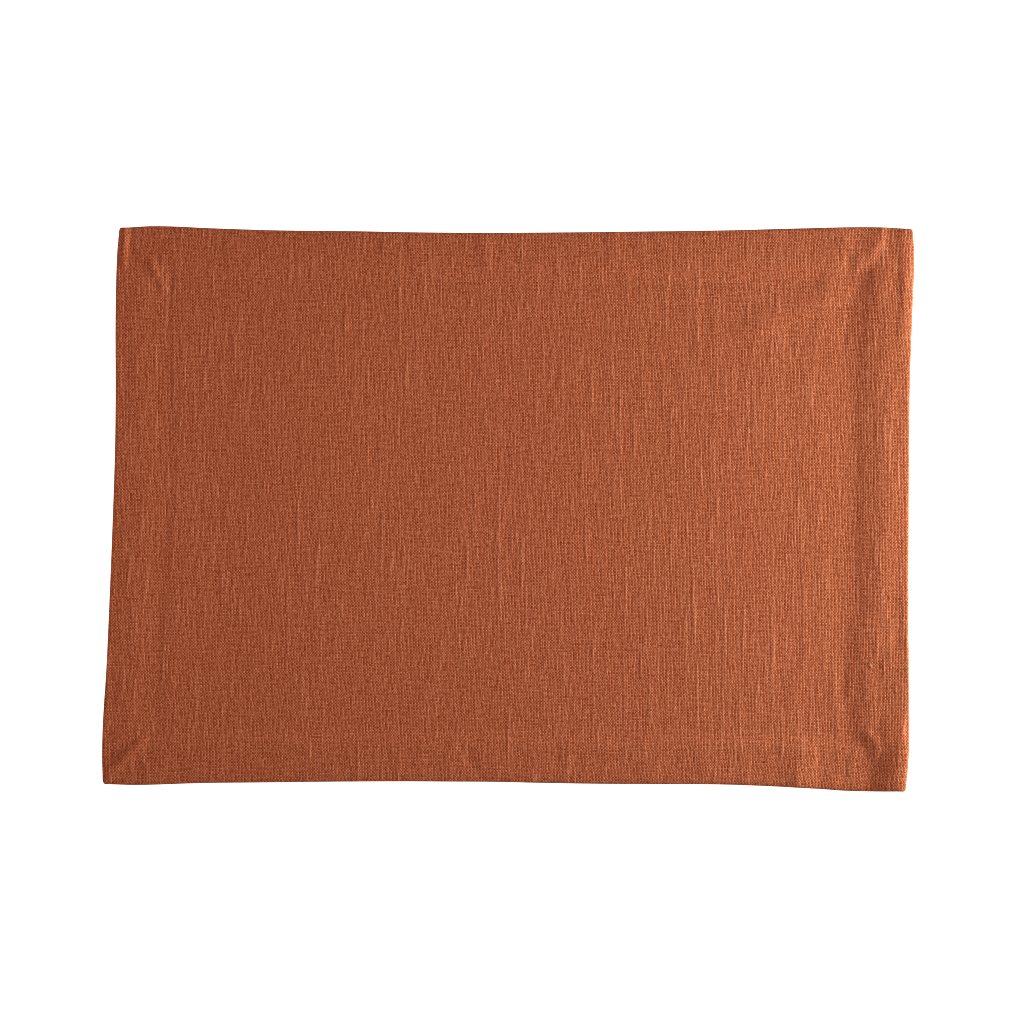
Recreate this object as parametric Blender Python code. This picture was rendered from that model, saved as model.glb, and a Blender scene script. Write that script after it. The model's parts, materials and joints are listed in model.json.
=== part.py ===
"""A fabric placemat: one rectangle of slub linen, hemmed on four sides with mitred corners.

The mat lies face up on a table at z = 0, with its long side along X. Its origin is on the
table, under the middle of its outline. Sizes are in millimetres, and the finished mesh is in metres.
"""

import math
from collections import namedtuple

import bmesh
import bpy

METRES_PER_MM = 0.001


def table(columns, *rows):
    """A short table: each row's values get the names of their columns."""
    Row = namedtuple("Row", columns)
    return [Row(*row) for row in rows]


# The mat between its folded edges, as a true rectangle. The tables of the four edges bend it.
MAT_LENGTH = 500.0
MAT_WIDTH = 347.0
HALF_LENGTH = MAT_LENGTH / 2
HALF_WIDTH = MAT_WIDTH / 2

CLOTH_THICKNESS = 1.0
HEM_WIDTH = 30.0
# The turned-under cloth ends in a fold on the underside, which is this wide in plan
HEM_FOLD_WIDTH = 1.0
# The outer edge is a half-round fold, and each corner is a little blunt
EDGE_FOLD_RADIUS = 1.1
EDGE_FOLD_STEPS = 4
CORNER_RADIUS = 2.0

# The panel inside the hems is a grid, with its threads closer together at the right and at the front
PANEL_INSET = 44.0
PANEL_COLUMNS = 44
PANEL_ROWS = 28
CROWDING_RIGHT = 0.4
CROWDING_FRONT = 0.25

# Rings of the face, between the panel and the folded edge, and of the underside, from the edge back in
FACE_RINGS = (38.0, 34.0, 30.0, 26.0, 20.0, 14.0, 7.0)
UNDERSIDE_RINGS = (
    HEM_WIDTH - HEM_FOLD_WIDTH / 2,
    HEM_WIDTH + HEM_FOLD_WIDTH / 2,
    34.0,
    38.0,
    PANEL_INSET,
)

# How far each edge stands out from the true rectangle: the cloth was pressed by hand and isn't square
LEFT_EDGE = table(
    "along out",
    (-173.5, 1.3),
    (-150.0, 2.3),
    (-125.0, 1.8),
    (-100.0, 0.4),
    (-60.0, -0.9),
    (-20.0, -2.0),
    (40.0, -3.2),
    (80.0, -3.0),
    (115.0, -2.4),
    (150.0, -2.5),
    (173.5, -3.3),
)
RIGHT_EDGE = table(
    "along out",
    (-173.5, 1.2),
    (-145.0, 2.8),
    (-110.0, 2.4),
    (-70.0, 1.6),
    (-10.0, 0.9),
    (50.0, 0.5),
    (75.0, 0.4),
    (100.0, 0.9),
    (130.0, 1.6),
    (152.0, 2.2),
    (173.5, 1.0),
)
BACK_EDGE = table(
    "along out",
    (-250.0, -0.4),
    (-225.0, 0.4),
    (-200.0, -0.4),
    (-150.0, -1.3),
    (-105.0, -1.1),
    (-65.0, -1.3),
    (-20.0, -1.0),
    (30.0, 0.0),
    (70.0, 1.0),
    (130.0, 2.6),
    (180.0, 4.6),
    (215.0, 5.8),
    (235.0, 5.8),
    (250.0, 5.2),
)
FRONT_EDGE = table(
    "along out",
    (-250.0, 3.0),
    (-225.0, 2.9),
    (-190.0, 1.2),
    (-150.0, 0.2),
    (-110.0, -0.8),
    (-65.0, -1.7),
    (-10.0, -2.1),
    (55.0, -1.9),
    (95.0, -2.2),
    (130.0, -2.6),
    (165.0, -1.9),
    (195.0, -0.6),
    (215.0, 0.4),
    (250.0, 0.3),
)

# Height of the face above the table, going in from each edge: a padded hem, the groove where it is
# sewn down, the panel puffed up beside the groove, and the flat of the panel
HEM_HEIGHTS = table(
    "inward left right back front",
    (0.0, 1.9, 2.1, 1.9, 1.9),
    (7.0, 2.2, 2.5, 2.2, 2.2),
    (14.0, 2.3, 2.7, 2.3, 2.3),
    (20.0, 2.3, 2.9, 2.2, 2.3),
    (26.0, 1.9, 2.5, 2.1, 2.2),
    (30.0, 1.4, 1.9, 1.6, 1.7),
    (34.0, 1.25, 1.4, 1.3, 1.3),
    (38.0, 1.35, 1.15, 1.2, 1.2),
    (44.0, 1.35, 1.3, 1.25, 1.25),
    (56.0, 1.15, 1.35, 1.1, 1.1),
    (75.0, 1.0, 1.0, 1.0, 1.0),
)
# Two hems' heights run into each other over this distance at a mitre
MITRE_BLEND = 4.0

# Cloth that stands up off the table in a soft fold from start to end, as wide as twice its reach
FOLDS = table(
    "start_x start_y end_x end_y reach height",
    (113.0, 97.0, 160.0, 104.0, 12.0, 0.4),
    (160.0, 104.0, 210.0, 130.0, 14.0, 0.7),
    (203.0, 158.0, 213.0, 133.0, 9.0, 0.6),
    (178.0, -110.0, 185.0, -131.0, 10.0, 0.7),
    (194.0, -80.0, 194.0, -99.0, 10.0, 0.5),
    (190.0, -140.0, 190.5, -172.0, 9.0, 0.8),
    (-31.0, -147.0, -18.0, -172.0, 11.0, 0.5),
    (3.0, -147.0, 3.5, -172.0, 11.0, 0.4),
)
# Broad low swells of the panel, which leave its middle flat
SWELLS = table(
    "x y reach_x reach_y height",
    (142.0, 55.0, 75.0, 85.0, 0.4),
    (135.0, -75.0, 80.0, 60.0, 0.35),
    (-135.0, 35.0, 80.0, 90.0, 0.25),
    (-120.0, -85.0, 90.0, 45.0, 0.2),
)
# The extra layers folded in under each mitre, as ridges of the face alone. The last two are the
# front right corner, which has sunk along its mitre and stands up beside it.
MITRES = table(
    "start_x start_y end_x end_y reach height",
    (-245.0, 168.5, -214.0, 137.0, 9.0, 0.6),
    (245.0, 168.5, 218.0, 141.0, 9.0, 0.6),
    (-245.0, -168.5, -219.0, -143.0, 9.0, 0.6),
    (243.0, -166.5, 218.0, -141.5, 9.0, -0.5),
    (232.0, -142.0, 229.0, -136.0, 9.0, 0.4),
)

# The underside's last ring is welded to the panel's underside where they meet
WELD_DISTANCE = 0.01
SMOOTH_UP_TO_DEGREES = 40.0

RUST_LINEN = (0.38, 0.10, 0.043, 1.0)
LINEN_ROUGHNESS = 0.9


def clear_scene():
    for thing in list(bpy.data.objects):
        bpy.data.objects.remove(thing, do_unlink=True)


def edge_out(edge, along):
    """How far an edge stands out at a place along it, on a smooth curve through its table."""
    last = len(edge) - 1
    along = min(max(along, edge[0].along), edge[last].along)
    here = max(index for index in range(last) if edge[index].along <= along)

    def slope(index):
        before = edge[max(index - 1, 0)]
        after = edge[min(index + 1, last)]
        return (after.out - before.out) / (after.along - before.along)

    start = edge[here]
    end = edge[here + 1]
    run = end.along - start.along
    t = (along - start.along) / run
    return (
        start.out * (2 * t**3 - 3 * t**2 + 1)
        + slope(here) * run * (t**3 - 2 * t**2 + t)
        + end.out * (3 * t**2 - 2 * t**3)
        + slope(here + 1) * run * (t**3 - t**2)
    )


def distances_from_edges(x, y):
    return {
        "left": HALF_LENGTH + x,
        "right": HALF_LENGTH - x,
        "back": HALF_WIDTH - y,
        "front": HALF_WIDTH + y,
    }


def hem_height(side, inward):
    """Height of the face beside one edge, read between the rows of its table."""
    if inward >= HEM_HEIGHTS[-1].inward:
        return getattr(HEM_HEIGHTS[-1], side)
    inward = max(inward, 0.0)
    here = max(index for index, row in enumerate(HEM_HEIGHTS) if row.inward <= inward)
    start = HEM_HEIGHTS[here]
    end = HEM_HEIGHTS[here + 1]
    share = (inward - start.inward) / (end.inward - start.inward)
    return getattr(start, side) * (1 - share) + getattr(end, side) * share


def base_height(x, y):
    """Height of the face without its folds. At a mitre the two hems count alike."""
    distances = distances_from_edges(x, y)
    nearest = min(distances.values())
    weights = {side: math.exp((nearest - inward) / MITRE_BLEND) for side, inward in distances.items()}
    total = sum(weights[side] * hem_height(side, inward) for side, inward in distances.items())
    return total / sum(weights.values())


def rounded_bump(share_of_reach):
    """1 in the middle, and 0 with a flat start at its reach and beyond."""
    return max(0.0, 1.0 - share_of_reach**2) ** 2


def ridge_height(row, x, y):
    """Height of one ridge, or of one trough, at a place on the cloth."""
    run_x = row.end_x - row.start_x
    run_y = row.end_y - row.start_y
    share = ((x - row.start_x) * run_x + (y - row.start_y) * run_y) / (run_x**2 + run_y**2)
    share = min(max(share, 0.0), 1.0)
    away = math.hypot(x - row.start_x - share * run_x, y - row.start_y - share * run_y)
    return row.height * rounded_bump(away / row.reach)


def swell_height(row, x, y):
    away = math.hypot((x - row.x) / row.reach_x, (y - row.y) / row.reach_y)
    return row.height * rounded_bump(away)


def fold_lift(x, y):
    return sum(ridge_height(row, x, y) for row in FOLDS)


def face_height(x, y):
    swell = sum(swell_height(row, x, y) for row in SWELLS)
    mitre = sum(ridge_height(row, x, y) for row in MITRES)
    return base_height(x, y) + fold_lift(x, y) + swell + mitre


def underside_height(x, y):
    """The hem lies on the table, and the panel hangs from it down to the table, one cloth thick."""
    if min(distances_from_edges(x, y).values()) < HEM_WIDTH:
        return fold_lift(x, y)
    return max(0.0, face_height(x, y) - CLOTH_THICKNESS)


def blunt_corner(x, y):
    """A place past the start of a corner's rounding goes onto the round."""
    past_x = abs(x) - (HALF_LENGTH - CORNER_RADIUS)
    past_y = abs(y) - (HALF_WIDTH - CORNER_RADIUS)
    if past_x <= 0 or past_y <= 0:
        return x, y
    shrink = max(past_x, past_y) / math.hypot(past_x, past_y)
    new_x = HALF_LENGTH - CORNER_RADIUS + past_x * shrink
    new_y = HALF_WIDTH - CORNER_RADIUS + past_y * shrink
    return math.copysign(new_x, x), math.copysign(new_y, y)


def lie_on_table(x, y, level):
    """Where a point of the flat cloth lies. level is 0 on the underside and 1 on the face."""
    low = underside_height(x, y)
    height = low + level * (face_height(x, y) - low)
    x, y = blunt_corner(x, y)
    to_right = 0.5 + x / MAT_LENGTH
    to_back = 0.5 + y / MAT_WIDTH
    across = x + to_right * edge_out(RIGHT_EDGE, y) - (1 - to_right) * edge_out(LEFT_EDGE, y)
    deep = y + to_back * edge_out(BACK_EDGE, x) - (1 - to_back) * edge_out(FRONT_EDGE, x)
    return across, deep, height


def crowd(share, amount):
    """Moves even steps from 0 to 1 closer together towards 1."""
    return share * (1 + amount) - amount * share**2


def open_edges(vertices):
    """The edges of these vertices with a face on one side only, always in the same order."""
    edges = (edge for vertex in vertices for edge in vertex.link_edges if edge.is_boundary)
    return list(dict.fromkeys(edges))


def add_panel(cloth, level):
    """The panel inside the hems as a flat grid. It returns the grid's outline."""
    made = bmesh.ops.create_grid(cloth, x_segments=PANEL_COLUMNS, y_segments=PANEL_ROWS, size=1.0)
    for vertex in made["verts"]:
        share_x = crowd((vertex.co.x + 1) / 2, CROWDING_RIGHT)
        share_y = 1 - crowd((1 - vertex.co.y) / 2, CROWDING_FRONT)
        vertex.co.x = (2 * share_x - 1) * (HALF_LENGTH - PANEL_INSET)
        vertex.co.y = (2 * share_y - 1) * (HALF_WIDTH - PANEL_INSET)
        vertex.co.z = level
    return open_edges(made["verts"])


def add_ring(cloth, edges, old_inset, new_inset, level):
    """One more ring of cloth: the open edges are extruded and scaled to their new inset."""
    made = bmesh.ops.extrude_edge_only(cloth, edges=edges)["geom"]
    vertices = [item for item in made if isinstance(item, bmesh.types.BMVert)]
    scale_x = (HALF_LENGTH - new_inset) / (HALF_LENGTH - old_inset)
    scale_y = (HALF_WIDTH - new_inset) / (HALF_WIDTH - old_inset)
    bmesh.ops.scale(cloth, vec=(scale_x, scale_y, 1.0), verts=vertices)
    for vertex in vertices:
        vertex.co.z = level
    return open_edges(vertices)


def add_hem(cloth, edges):
    """The hem's face, its folded edge and its underside, ring by ring back to the panel's outline."""
    inset = PANEL_INSET
    for ring in FACE_RINGS:
        edges = add_ring(cloth, edges, inset, ring, 1.0)
        inset = ring
    for step in range(EDGE_FOLD_STEPS + 1):
        angle = math.pi / 2 - math.pi * step / EDGE_FOLD_STEPS
        ring = EDGE_FOLD_RADIUS * (1 - math.cos(angle))
        edges = add_ring(cloth, edges, inset, ring, (1 + math.sin(angle)) / 2)
        inset = ring
    for ring in UNDERSIDE_RINGS:
        edges = add_ring(cloth, edges, inset, ring, 0.0)
        inset = ring


def model_cloth():
    """The cloth as a flat block: the panel's underside, its face, and the hem from one to the other."""
    cloth = bmesh.new()
    add_panel(cloth, 0.0)
    face_outline = add_panel(cloth, 1.0)
    add_hem(cloth, face_outline)
    bmesh.ops.remove_doubles(cloth, verts=cloth.verts, dist=WELD_DISTANCE)
    bmesh.ops.recalc_face_normals(cloth, faces=cloth.faces)
    return cloth


def lay_and_centre(cloth):
    """Gives the flat cloth its outline and heights, and puts the middle of its outline at the origin."""
    for vertex in cloth.verts:
        vertex.co = lie_on_table(*vertex.co)
    middle_x = (min(v.co.x for v in cloth.verts) + max(v.co.x for v in cloth.verts)) / 2
    middle_y = (min(v.co.y for v in cloth.verts) + max(v.co.y for v in cloth.verts)) / 2
    bmesh.ops.translate(cloth, vec=(-middle_x, -middle_y, 0.0), verts=cloth.verts)
    bmesh.ops.scale(cloth, vec=(METRES_PER_MM,) * 3, verts=cloth.verts)


def rust_linen():
    material = bpy.data.materials.new("rust_linen")
    material.use_nodes = True
    shader = material.node_tree.nodes["Principled BSDF"]
    shader.inputs["Base Color"].default_value = RUST_LINEN
    shader.inputs["Roughness"].default_value = LINEN_ROUGHNESS
    shader.inputs["Metallic"].default_value = 0.0
    return material


def make_placemat():
    cloth = model_cloth()
    lay_and_centre(cloth)
    mesh = bpy.data.meshes.new("placemat_cloth")
    cloth.to_mesh(mesh)
    cloth.free()
    mesh.materials.append(rust_linen())
    mesh.shade_smooth()
    mesh.set_sharp_from_angle(angle=math.radians(SMOOTH_UP_TO_DEGREES))
    placemat = bpy.data.objects.new("placemat_cloth", mesh)
    bpy.context.collection.objects.link(placemat)


clear_scene()
make_placemat()
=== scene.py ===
"""The looks of a fabric placemat: one rectangle of rust slub linen, hemmed and mitred, laid face up.

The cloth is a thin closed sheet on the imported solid: its face has one column of points for each
warp thread, and its edges fold under into the hem. Tables are in millimetres on the flat mat, with
the origin at its middle, x to the right and y to the back. Finished meshes are in metres.
"""

import json
import math
from collections import namedtuple

import bmesh
import bpy
import numpy as np
from bpy.props import FloatProperty, FloatVectorProperty, IntProperty, PointerProperty
from mathutils import Matrix, Quaternion, Vector
from mathutils.bvhtree import BVHTree

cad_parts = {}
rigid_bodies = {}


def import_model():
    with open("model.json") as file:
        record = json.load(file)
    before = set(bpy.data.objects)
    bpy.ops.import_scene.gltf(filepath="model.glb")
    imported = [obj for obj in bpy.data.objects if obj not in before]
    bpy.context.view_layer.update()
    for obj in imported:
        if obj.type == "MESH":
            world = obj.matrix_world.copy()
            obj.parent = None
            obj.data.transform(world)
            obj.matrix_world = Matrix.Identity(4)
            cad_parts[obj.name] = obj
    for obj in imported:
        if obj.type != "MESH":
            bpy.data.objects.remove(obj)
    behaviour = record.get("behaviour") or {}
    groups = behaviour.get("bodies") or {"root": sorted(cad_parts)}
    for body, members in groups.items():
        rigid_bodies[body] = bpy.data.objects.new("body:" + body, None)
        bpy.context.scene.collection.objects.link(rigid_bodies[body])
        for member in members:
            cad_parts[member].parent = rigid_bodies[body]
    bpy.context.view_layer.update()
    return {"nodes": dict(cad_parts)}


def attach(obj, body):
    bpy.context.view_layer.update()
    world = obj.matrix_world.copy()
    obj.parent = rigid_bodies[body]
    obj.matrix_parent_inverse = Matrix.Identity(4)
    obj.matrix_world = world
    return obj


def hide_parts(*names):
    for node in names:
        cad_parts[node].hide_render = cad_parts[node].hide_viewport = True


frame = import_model()

bl_info = {
    "name": "Slub linen placemat",
    "version": (1, 0, 0),
    "blender": (4, 5, 0),
    "location": "3D View > Sidebar > Placemat",
    "description": "Lays out a rust slub linen placemat with wide hems and mitred corners",
    "category": "Mesh",
}

MM = 0.001
BODY = "root"
SOLID = "placemat_cloth"
SIDES = ("front", "right", "back", "left")


def linear(hex_colour):
    """A colour such as "a45637" as Blender's linear values, with full alpha."""
    shares = [int(hex_colour[place : place + 2], 16) / 255 for place in (0, 2, 4)]
    return (*(s / 12.92 if s <= 0.04045 else ((s + 0.055) / 1.055) ** 2.4 for s in shares), 1.0)


def table(columns, *rows):
    """A short table: each row's values get the names of their columns."""
    Row = namedtuple("Row", columns)
    return [Row(*row) for row in rows]


def column(rows, name):
    """The values under one name of a table."""
    return np.array([getattr(row, name) for row in rows], float)


# ---------------- shape tables

# Height of the face above the table, going in from each edge: the rounded padded hem, the groove
# where it is sewn down, the panel puffed up beside the groove, and the flat of the panel
HEM_HEIGHTS = table(
    "inward left right back front",
    (0.0, 2.15, 2.35, 1.9, 1.9),
    (3.0, 1.98, 2.5, 2.1, 2.1),
    (7.0, 1.95, 2.55, 2.2, 2.15),
    (10.0, 1.95, 2.6, 2.2, 2.1),
    (13.0, 1.95, 2.65, 2.25, 2.1),
    (17.0, 1.9, 2.6, 2.25, 2.1),
    (20.0, 1.8, 2.45, 2.2, 2.15),
    (23.0, 1.65, 2.25, 2.05, 2.15),
    (26.0, 1.5, 2.05, 1.7, 1.95),
    (29.0, 1.4, 1.8, 1.4, 1.6),
    (31.0, 1.32, 1.6, 1.25, 1.35),
    (33.0, 1.3, 1.4, 1.2, 1.25),
    (36.0, 1.35, 1.25, 1.3, 1.2),
    (40.0, 1.38, 1.15, 1.3, 1.25),
    (46.0, 1.3, 1.15, 1.25, 1.2),
    (56.0, 1.15, 1.2, 1.1, 1.1),
    (75.0, 1.0, 1.0, 1.0, 1.0),
)
# Two hems' heights run into each other over this distance at a mitre
MITRE_BLEND = 4.0

# A fold is a ridge from its back end to its front end. It falls away to either side over a reach of
# its own, so that it can lean. Folds lift the whole cloth off the table.
FOLDS = table(
    "start_x start_y end_x end_y to_right to_left height",
    (154.7, 112.6, 120.3, 103.3, 12.0, 12.0, 0.2),
    (205.2, 134.0, 154.7, 112.6, 10.0, 16.0, 0.5),
    (207.3, 161.0, 198.8, 139.6, 6.0, 10.0, 0.25),
    (204.6, 173.5, 206.1, 161.0, 9.0, 18.0, 0.22),
    (180.9, -106.7, 176.1, -116.8, 6.0, 10.0, 0.15),
    (217.5, -117.4, 217.7, -135.0, 25.0, 32.0, 0.5),
    (183.5, -153.0, 183.8, -173.1, 14.0, 18.0, 0.5),
    (249.2, -54.2, 249.7, -84.4, 4.0, 8.0, 0.4),
    (249.8, -96.9, 249.6, -124.5, 4.0, 20.0, 1.0),
    (246.7, -145.3, 245.9, -172.3, 12.0, 22.0, 2.1),
)
# Creases of the face alone, and troughs where the height is below zero. The first rows are the extra
# layers folded in under the mitres.
CREASES = table(
    "start_x start_y end_x end_y to_right to_left height",
    (-238.8, 162.3, -227.9, 147.4, 3.0, 3.0, 0.2),
    (-227.4, 151.2, -225.4, 143.7, 3.0, 4.5, 0.6),
    (-224.1, 145.0, -220.2, 133.1, 3.0, 3.5, 0.35),
    (-217.9, 150.1, -215.8, 133.8, 4.5, 2.5, -0.2),
    (229.2, 165.7, 219.4, 153.0, 5.0, 12.0, 0.55),
    (-226.3, -147.5, -246.1, -166.6, 5.5, 4.5, 1.0),
    (-246.5, 171.0, -246.2, 150.9, 4.0, 3.0, 0.9),
    (-245.9, 172.3, -245.7, 162.2, 5.0, 3.0, 0.5),
    (-215.5, -158.6, -223.5, -171.3, 14.0, 9.0, 0.25),
    (227.2, -140.5, 229.2, -147.4, 5.0, 9.0, 0.7),
    (220.0, -74.7, 221.0, -102.3, 14.0, 12.0, 0.35),
    (211.9, -120.0, 212.3, -148.9, 6.0, 34.0, -0.22),
    (243.6, 171.6, 245.2, 102.6, 4.0, 5.5, 0.42),
    (224.3, 157.5, 225.9, 133.7, 11.0, 4.0, 0.3),
    (208.7, 151.0, 209.3, 111.5, 8.0, 16.0, -0.3),
    (204.1, -105.1, 204.6, -136.4, 4.0, 5.0, 0.12),
    (153.5, 103.8, 112.8, 98.8, 6.0, 6.0, -0.12),
    (-26.8, -151.0, -13.9, -172.1, 5.0, 5.0, -0.3),
    (63.0, -151.0, 63.8, -168.5, 6.0, 6.0, 0.15),
    (84.8, -144.4, 85.8, -168.2, 6.0, 6.0, 0.15),
    (122.6, -155.2, 123.4, -167.7, 6.0, 6.0, 0.2),
    (147.7, -154.8, 148.5, -167.3, 6.0, 6.0, 0.2),
    (-178.0, 166.9, -177.1, 149.4, 8.0, 8.0, 0.15),
    (-62.6, 167.3, -61.7, 151.0, 8.0, 8.0, 0.15),
    (-19.9, 169.1, -19.1, 154.1, 8.0, 8.0, 0.3),
    (60.4, 170.3, 61.2, 155.2, 8.0, 8.0, 0.3),
)
# Broad low swells of the panel, which leave its middle flat
SWELLS = table(
    "x y reach_x reach_y height",
    (142.0, 55.0, 75.0, 85.0, 0.4),
    (135.0, -75.0, 80.0, 60.0, 0.35),
    (-135.0, 35.0, 80.0, 90.0, 0.25),
    (-120.0, -85.0, 90.0, 45.0, 0.2),
)

# Rings of the underside: how far in from the edge, and how far up from the hem's underside (0) to
# the panel's (1). The steep part is the folded edge of the turned-under cloth.
UNDERSIDE_RINGS = table(
    "inset rise",
    (3.0, 0.0),
    (8.0, 0.0),
    (15.0, 0.0),
    (22.0, 0.0),
    (27.0, 0.0),
    (29.2, 0.0),
    (29.8, 0.25),
    (30.2, 0.75),
    (30.8, 1.0),
    (33.0, 1.0),
    (37.0, 1.0),
    (44.0, 1.0),
)
# Soft unevenness of the pressed panel and of the padded hem, and how far a warp thread wanders
# sideways: height or way, how many waves, about how long they are in x and y, and their seed
PANEL_RIPPLE, HEM_RIPPLE, THREAD_RIPPLE = table(
    "size waves length_x length_y seed",
    (0.03, 40, 14.0, 70.0, 3),
    (0.05, 30, 22.0, 24.0, 5),
    (0.32, 30, 16.0, 60.0, 7),
)
# The mat was pressed flatter towards its left end: the panel's unevenness in the middle, and what
# it gains towards the right end and loses towards the left
PRESSED = (0.7, 0.5)
# The hem's unevenness fades out from 0.3 to this share of its width
HEM_RIPPLE_ENDS = 1.3
# Threads wander freely from this far in, and less towards the edge
WANDER_FREE = 10.0
# On the underside, the hem is drawn in this far along each mitre's seam
MITRE_GROOVE = 0.4
MITRE_GROOVE_REACH = 3.0

# The underside is four threads to a column, and two rows of the face to a row
COARSE_COLUMNS = 4
COARSE_ROWS = 2
EDGE_FOLD_STEPS = 4
# Rows of the face across the mat: close together over a hem's inner edge
ROW_BANDS = table("end_inset steps", (26.0, 10), (36.0, 8), (44.0, 4))
MIDDLE_ROWS = 82

# How the solid's outline is read: readings along each edge, this far from its corners and this high
EDGE_READINGS = 31
READ_FROM_CORNER = 4.0
READ_HEIGHT = 1.0
OUTSIDE = 1.0


# ---------------- settings


class ClothSettings(bpy.types.PropertyGroup):
    """Sizes and colours of the cloth."""

    length: FloatProperty(
        name="Length", description="The mat's mean length", default=0.5, unit="LENGTH"
    )
    width: FloatProperty(
        name="Width", description="The mat's mean width", default=0.347, unit="LENGTH"
    )
    thickness: FloatProperty(
        name="Thickness", description="Thickness of one layer", default=0.001, unit="LENGTH"
    )
    edge_radius: FloatProperty(
        name="Edge radius",
        description="Radius in plan of the half-round fold at the edge",
        default=0.0011,
        unit="LENGTH",
    )
    corner_radius: FloatProperty(
        name="Corner radius", description="How blunt a corner is", default=0.0022, unit="LENGTH"
    )
    hem_width: FloatProperty(
        name="Hem width", description="Width of the turned-under hem", default=0.03, unit="LENGTH"
    )
    turn_in: FloatProperty(
        name="Turn-in",
        description="Cloth folded in at the hem's inner edge",
        default=0.01,
        unit="LENGTH",
    )
    warp_threads: IntProperty(
        name="Warp threads", description="Threads across the mat, running front to back", default=552
    )
    weft_pitch: FloatProperty(
        name="Weft pitch",
        description="Distance from one weft thread to the next",
        default=0.00096,
        unit="LENGTH",
    )
    slub_height: FloatProperty(
        name="Slub height",
        description="How far a usual thick place of a warp thread stands up",
        default=0.000065,
        unit="LENGTH",
    )
    weave_depth: FloatProperty(
        name="Weave depth",
        description="Height of a thread's crown over the gaps beside it",
        default=0.00016,
        unit="LENGTH",
    )
    # The two weave colours carry painted light and shade: the crown colour is the linen with painted
    # light, and the gap colour is the linen with painted shade
    lit_crown_colour: FloatVectorProperty(
        name="Crown colour",
        description="The linen on the crowns of the threads",
        default=linear("be6747"),
        size=4,
        subtype="COLOR",
    )
    shaded_gap_colour: FloatVectorProperty(
        name="Gap colour",
        description="The linen down between the threads",
        default=linear("862a00"),
        size=4,
        subtype="COLOR",
    )
    fuzz_colour: FloatVectorProperty(
        name="Fuzz colour",
        description="The short fibres that stand off the linen and catch a low light",
        default=linear("ffe5a0"),
        size=4,
        subtype="COLOR",
    )


class SewingSettings(bpy.types.PropertyGroup):
    """Sizes and colours of the sewing thread."""

    thread: FloatProperty(
        name="Thread", description="Thickness of the sewing thread", default=0.0003, unit="LENGTH"
    )
    stitch_spacing: FloatProperty(
        name="Stitch spacing",
        description="Distance between the stitches of the hems and mitres",
        default=0.003,
        unit="LENGTH",
    )
    thread_colour: FloatVectorProperty(
        name="Thread colour",
        description="The sewing thread",
        default=linear("c24a10"),
        size=4,
        subtype="COLOR",
    )
    # Painted light: the loose yarn's pale colour is that of the yarn where the low light catches it
    lit_loose_yarn_colour: FloatVectorProperty(
        name="Loose yarn colour",
        description="The thin end of yarn that stands out of the cloth",
        default=linear("de987c"),
        size=4,
        subtype="COLOR",
    )


class StageSettings(bpy.types.PropertyGroup):
    """The light and the table round the mat."""

    side_power: FloatProperty(
        name="Side light",
        description="Power of the low light at the right",
        default=28.5,
        unit="POWER",
    )
    top_power: FloatProperty(
        name="Top light",
        description="Power of the large light overhead",
        default=4.1,
        unit="POWER",
    )
    sky: FloatProperty(name="Sky", description="Strength of the even light", default=0.117)
    floor_colour: FloatVectorProperty(
        name="Floor colour",
        description="The table top",
        default=linear("f8f8f7"),
        size=4,
        subtype="COLOR",
    )
    floor_glow: FloatProperty(
        name="Floor glow",
        description="Light that the white table top gives off, as a lit light table does",
        default=1.0,
    )


# ---------------- the cloth's shape


def smooth_line(at, known_at, known):
    """Reads a smooth curve through known points, at an array of places."""
    at = np.clip(at, known_at[0], known_at[-1])
    here = np.clip(np.searchsorted(known_at, at, side="right") - 1, 0, len(known_at) - 2)
    slopes = np.gradient(known, known_at)
    run = known_at[here + 1] - known_at[here]
    t = (at - known_at[here]) / run
    return (
        known[here] * (2 * t**3 - 3 * t**2 + 1)
        + slopes[here] * run * (t**3 - 2 * t**2 + t)
        + known[here + 1] * (3 * t**2 - 2 * t**3)
        + slopes[here + 1] * run * (t**3 - t**2)
    )


def ripple(x, y, row):
    """Soft unevenness of about a row's size: many waves of chance direction, near its lengths."""
    chance = np.random.default_rng(row.seed)
    total = np.zeros(np.broadcast(x, y).shape)
    for _ in range(row.waves):
        turn_x = 2 * math.pi / row.length_x * chance.uniform(0.4, 1.6) * chance.choice((-1, 1))
        turn_y = 2 * math.pi / row.length_y * chance.uniform(0.0, 1.6)
        total += np.cos(turn_x * x + turn_y * y + chance.uniform(0, 2 * math.pi))
    return row.size * total / math.sqrt(row.waves)


def rounded_bump(share_of_reach):
    """1 in the middle, and 0 with a flat start at its reach and beyond."""
    return np.clip(1.0 - share_of_reach**2, 0.0, 1.0) ** 2


def ridges(rows, x, y):
    """Height of all the ridges and troughs of a table, at places on the cloth.

    A row runs from back to front, so the mat's right is on its left hand.
    """
    total = np.zeros(np.broadcast(x, y).shape)
    for row in rows:
        run_x = row.end_x - row.start_x
        run_y = row.end_y - row.start_y
        share = ((x - row.start_x) * run_x + (y - row.start_y) * run_y) / (run_x**2 + run_y**2)
        share = np.clip(share, 0.0, 1.0)
        off_x = x - row.start_x - share * run_x
        off_y = y - row.start_y - share * run_y
        reach = np.where(run_x * off_y - run_y * off_x > 0, row.to_right, row.to_left)
        total += row.height * rounded_bump(np.hypot(off_x, off_y) / reach)
    return total


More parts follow.
